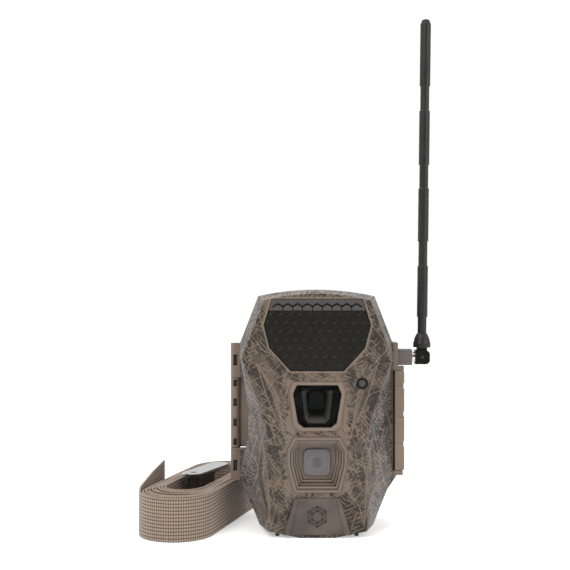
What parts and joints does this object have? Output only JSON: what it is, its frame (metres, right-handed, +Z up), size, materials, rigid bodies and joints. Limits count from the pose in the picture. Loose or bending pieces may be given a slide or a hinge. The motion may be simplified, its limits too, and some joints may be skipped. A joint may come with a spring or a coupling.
{
  "type": "trail camera",
  "caption": "Weatherproof trail camera with hinged rear door, side latch, folding antenna, battery cartridge, tripod thread and a rolled webbing mounting strap with cam buckle.",
  "frame": {"origin": "centre of the tripod thread's mouth, in the flat underside of the case", "axes": "+Z up, +Y towards the back of the case, +X to the right seen from the front"},
  "size_m": [0.1729, 0.1214, 0.3039],
  "materials": {
    "camo": "moulded, printed bark pattern",
    "tan_plastic": "fine moulded texture",
    "steel": "plain",
    "blackened_steel": "black oxide",
    "sensor_glass": "polished",
    "rubber": "matt",
    "brass": "turned",
    "window_black": "glossy, hexagon relief",
    "circuit_board": "solder mask",
    "emitter": "clear dark epoxy",
    "clear_glass": "polished",
    "hood_black": "fine texture",
    "lens_glass": "coated",
    "milky_lens": "translucent, ringed",
    "badge": "smooth",
    "antenna_boss": "fine texture",
    "plated": "nickel plated",
    "cable_black": "smooth jacket",
    "panel_grey": "fine texture",
    "screen": "polished",
    "key_rubber": "matt",
    "socket_steel": "stamped",
    "card_plastic": "smooth",
    "tray_black": "fine texture",
    "cell_jacket": "shrink sleeve",
    "antenna_black": "fine texture",
    "antenna_rubber": "satin",
    "webbing": "ribbed polypropylene webbing",
    "buckle_black": "glossy"
  },
  "bodies": {
    "housing": {"antenna_boss": "antenna_boss", "antenna_jack": "plated", "badge_plate": "badge", "battery_contacts": "plated", "board_screws": "steel", "cell_module": "steel", "coax_cable": "cable_black", "control_panel": "panel_grey", "display": "screen", "feet": "rubber", "front_housing": "camo", "gasket": "rubber", "hinge_pin": "blackened_steel", "ir_led_board": "circuit_board", "ir_leds": "emitter", "ir_window": "window_black", "latch_pin": "blackened_steel", "lens_barrel": "hood_black", "lens_bezel": "tan_plastic", "lens_glass": "lens_glass", "lens_hood": "hood_black", "lens_window": "clear_glass", "light_sensor": "hood_black", "light_sensor_lens": "sensor_glass", "main_board": "circuit_board", "panel_screws": "steel", "pir_bezel": "tan_plastic", "pir_board": "circuit_board", "pir_lens": "milky_lens", "pir_sensor": "steel", "sd_socket": "socket_steel", "sensor_board": "circuit_board", "sim_socket": "socket_steel", "tripod_insert": "brass"},
    "rear_door": {"rear_door": "tan_plastic"},
    "latch": {"latch_lever": "tan_plastic"},
    "antenna_elbow": {"antenna_knuckle": "antenna_black", "antenna_pin": "blackened_steel"},
    "antenna_whip": {"antenna_whip": "antenna_rubber"},
    "battery_cartridge": {"battery_tray": "tray_black", "batteries": "cell_jacket"},
    "sd_card": {"sd_card": "card_plastic"},
    "sim_card": {"sim_card": "card_plastic"},
    "mode_switch": {"mode_switch": "key_rubber"},
    "strap": {"mounting_strap": "webbing", "buckle_frame": "buckle_black", "buckle_pin": "blackened_steel"},
    "buckle_cam": {"buckle_cam": "buckle_black"},
    "button_up": {"button_up": "key_rubber"},
    "button_down": {"button_down": "key_rubber"},
    "button_menu": {"button_menu": "key_rubber"},
    "button_ok": {"button_ok": "key_rubber"}
  },
  "joints": [
    {"name": "door_hinge", "type": "hinge", "parent": "housing", "child": "rear_door", "pos_m": [-0.0484, 0, 0.068], "axis": [0, 0, 1], "range_deg": [0, 100]},
    {"name": "latch_pivot", "type": "hinge", "parent": "housing", "child": "latch", "pos_m": [0.0494, -0.01, 0.0646], "axis": [0, 0, -1], "range_deg": [0, 75]},
    {"name": "antenna_swivel", "type": "hinge", "parent": "housing", "child": "antenna_elbow", "pos_m": [0.0631, -0.008, 0.1021], "axis": [1, 0, 0], "range_deg": [-100, 100]},
    {"name": "antenna_tilt", "type": "hinge", "parent": "antenna_elbow", "child": "antenna_whip", "pos_m": [0.0631, -0.008, 0.1021], "axis": [0, 1, 0], "range_deg": [0, 90]},
    {"name": "cartridge_slide", "type": "slide", "parent": "housing", "child": "battery_cartridge", "axis": [0, 0, 1], "range_m": [0, 0.045]},
    {"name": "sd_card_slide", "type": "slide", "parent": "housing", "child": "sd_card", "axis": [0, 0, 1], "range_m": [0, 0.022]},
    {"name": "sim_card_slide", "type": "slide", "parent": "housing", "child": "sim_card", "axis": [0, 0, 1], "range_m": [0, 0.012]},
    {"name": "mode_switch_slide", "type": "slide", "parent": "housing", "child": "mode_switch", "axis": [1, 0, 0], "range_m": [-0.003, 0.003]},
    {"name": "strap_lift_off", "type": "slide", "parent": "housing", "child": "strap", "axis": [-1, 0, 0], "range_m": [0, 0.12]},
    {"name": "buckle_cam_pivot", "type": "hinge", "parent": "strap", "child": "buckle_cam", "pos_m": [-0.07524, 0.01611, 0.015], "axis": [0, 0, 1], "range_deg": [-6, 0]},
    {"name": "button_up_press", "type": "slide", "parent": "housing", "child": "button_up", "axis": [0, -1, 0], "range_m": [0, 0.0008], "stiffness_N_per_m": 800},
    {"name": "button_down_press", "type": "slide", "parent": "housing", "child": "button_down", "axis": [0, -1, 0], "range_m": [0, 0.0008], "stiffness_N_per_m": 800},
    {"name": "button_menu_press", "type": "slide", "parent": "housing", "child": "button_menu", "axis": [0, -1, 0], "range_m": [0, 0.0008], "stiffness_N_per_m": 800},
    {"name": "button_ok_press", "type": "slide", "parent": "housing", "child": "button_ok", "axis": [0, -1, 0], "range_m": [0, 0.0008], "stiffness_N_per_m": 800}
  ]
}
